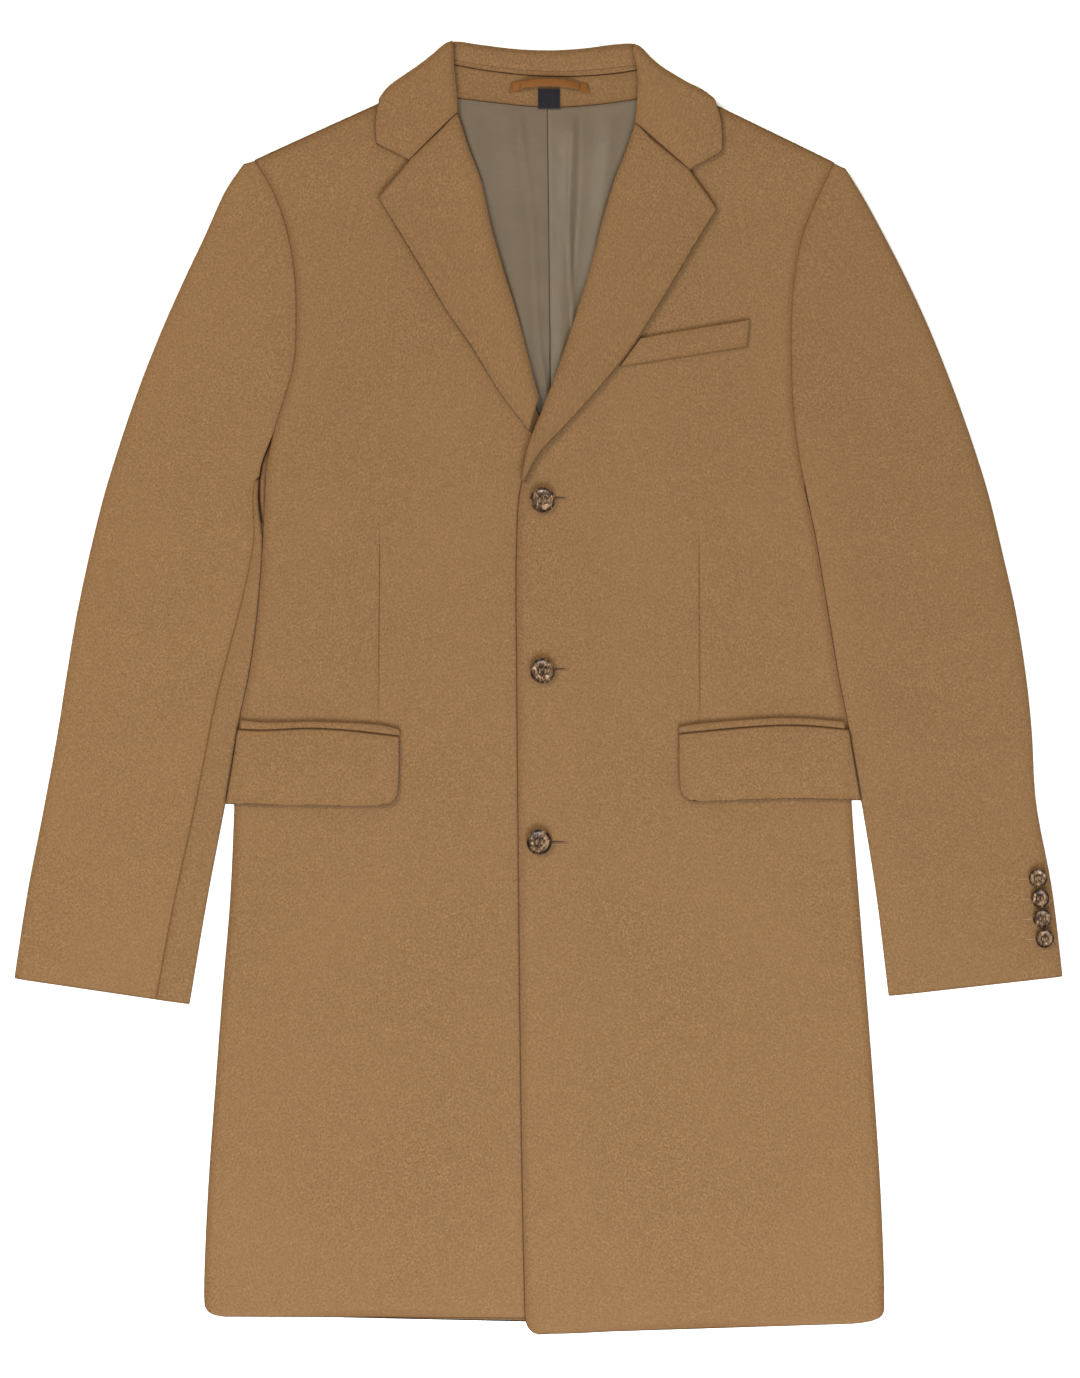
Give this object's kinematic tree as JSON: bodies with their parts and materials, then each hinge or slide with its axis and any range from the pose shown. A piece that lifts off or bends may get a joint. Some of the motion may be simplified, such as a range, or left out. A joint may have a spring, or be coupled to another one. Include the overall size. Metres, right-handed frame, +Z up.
{
  "type": "single-breasted wool overcoat laid flat",
  "caption": "Camel wool overcoat laid flat on its back, with notch lapels, welt and flap pockets and horn buttons.",
  "frame": {"origin": "middle of the bounding box's base, on the surface the coat lies on", "axes": "+Z up out of the surface through the coat's front, +Y towards the collar, +X towards the wearer's left sleeve"},
  "size_m": [0.829, 1.0208, 0.014],
  "materials": {
    "coat_cloth": "camel wool melton with a short mottled nap",
    "lining_satin": "grey olive satin, soft sheen",
    "loop_satin": "brown satin ribbon",
    "label_weave": "dark navy woven label, bare",
    "horn": "dark marbled horn, polished"
  },
  "bodies": {
    "root": {"back_left": "coat_cloth", "back_right": "coat_cloth", "breast_welt": "coat_cloth", "button_1": "horn", "button_2": "horn", "button_3": "horn", "collar": "coat_cloth", "collar_stand": "coat_cloth", "cuff_button_1": "horn", "cuff_button_2": "horn", "cuff_button_3": "horn", "cuff_button_4": "horn", "flap_left": "coat_cloth", "flap_right": "coat_cloth", "front_left": "coat_cloth", "front_right": "coat_cloth", "hanger_loop": "loop_satin", "jet_left": "coat_cloth", "jet_right": "coat_cloth", "lapel_left": "coat_cloth", "lapel_right": "coat_cloth", "lining_left": "lining_satin", "lining_right": "lining_satin", "neck_facing": "coat_cloth", "neck_label": "label_weave", "sleeve_top_left": "coat_cloth", "sleeve_top_right": "coat_cloth", "sleeve_under_left": "coat_cloth", "sleeve_under_right": "coat_cloth"}
  },
  "joints": []
}
